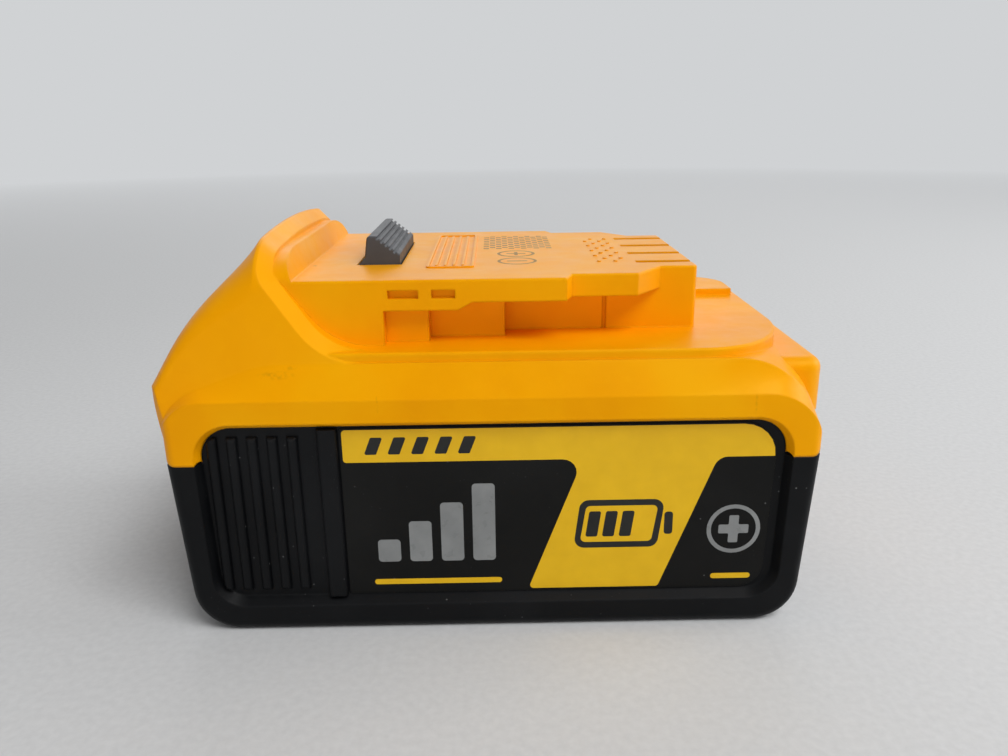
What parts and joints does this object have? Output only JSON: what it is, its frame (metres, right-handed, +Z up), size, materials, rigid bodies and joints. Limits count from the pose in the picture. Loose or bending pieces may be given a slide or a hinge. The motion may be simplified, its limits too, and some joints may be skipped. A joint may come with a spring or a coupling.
{
  "type": "power tool battery pack",
  "caption": "Slide-on rechargeable battery pack of a cordless hand tool, with a black tub, a yellow cover with rails, a sprung release latch and a charge gauge",
  "frame": {"origin": "on the surface the pack stands on, under the middle of its bounding box", "axes": "+X along the pack towards the terminal end that enters the tool first, -Y towards the labelled side, +Z up out of the base"},
  "size_m": [0.1218, 0.079, 0.0734],
  "materials": {
    "black_shell": "satin moulded",
    "yellow_cover": "satin moulded",
    "label_print": "printed film",
    "black_latch": "satin moulded",
    "spring_steel": "drawn wire",
    "black_bezel": "smooth",
    "grey_button": "fine texture",
    "clear_lens": "clear, frosted",
    "green_board": "solder resist",
    "black_chip": "epoxy",
    "white_led": "clear cap",
    "cell_wrap": "shrink sleeve",
    "carrier_plastic": "moulded",
    "nickel": "rolled strip",
    "insulating_sheet": "pressed fibre",
    "black_foam": "open foam",
    "copper_bar": "rolled copper",
    "tinned_contact": "tinned strip",
    "black_block": "glass-filled moulding",
    "screw_steel": "zinc plated",
    "sensor_bead": "dipped bead"
  },
  "bodies": {
    "pack": {"carrier_far": "carrier_plastic", "carrier_near": "carrier_plastic", "case_screws": "screw_steel", "cell_01": "cell_wrap", "cell_02": "cell_wrap", "cell_03": "cell_wrap", "cell_04": "cell_wrap", "cell_05": "cell_wrap", "cell_06": "cell_wrap", "cell_07": "cell_wrap", "cell_08": "cell_wrap", "cell_09": "cell_wrap", "cell_10": "cell_wrap", "contact_1": "tinned_contact", "contact_2": "tinned_contact", "contact_3": "tinned_contact", "contact_4": "tinned_contact", "foam_far": "black_foam", "foam_near": "black_foam", "gauge_bezel": "black_bezel", "gauge_board": "green_board", "gauge_led_1": "white_led", "gauge_led_2": "white_led", "gauge_led_3": "white_led", "gauge_light_pipe": "clear_lens", "gauge_switch": "black_chip", "insulator_far": "insulating_sheet", "insulator_near": "insulating_sheet", "latch_spring_far": "spring_steel", "latch_spring_near": "spring_steel", "lower_case": "black_shell", "main_board": "green_board", "main_chip": "black_chip", "negative_busbar": "copper_bar", "positive_busbar": "copper_bar", "side_label": "label_print", "strap_far_1": "nickel", "strap_far_2": "nickel", "strap_far_3": "nickel", "strap_near_1": "nickel", "strap_near_2": "nickel", "strap_near_3": "nickel", "terminal_block": "black_block", "thermistor": "sensor_bead", "transistor_far": "black_chip", "transistor_near": "black_chip", "upper_case": "yellow_cover"},
    "latch": {"release_latch": "black_latch"},
    "gauge_key": {"gauge_button": "grey_button"}
  },
  "joints": [
    {"name": "latch_press", "type": "slide", "parent": "pack", "child": "latch", "axis": [0, 0, -1], "range_m": [0, 0.0056], "stiffness_N_per_m": 800, "springref_m": -0.004, "deforming": ["latch_spring_near", "latch_spring_far"]},
    {"name": "gauge_press", "type": "slide", "parent": "pack", "child": "gauge_key", "axis": [1, 0, 0], "range_m": [0, 0.0007], "stiffness_N_per_m": 1500, "springref_m": -0.0005}
  ]
}
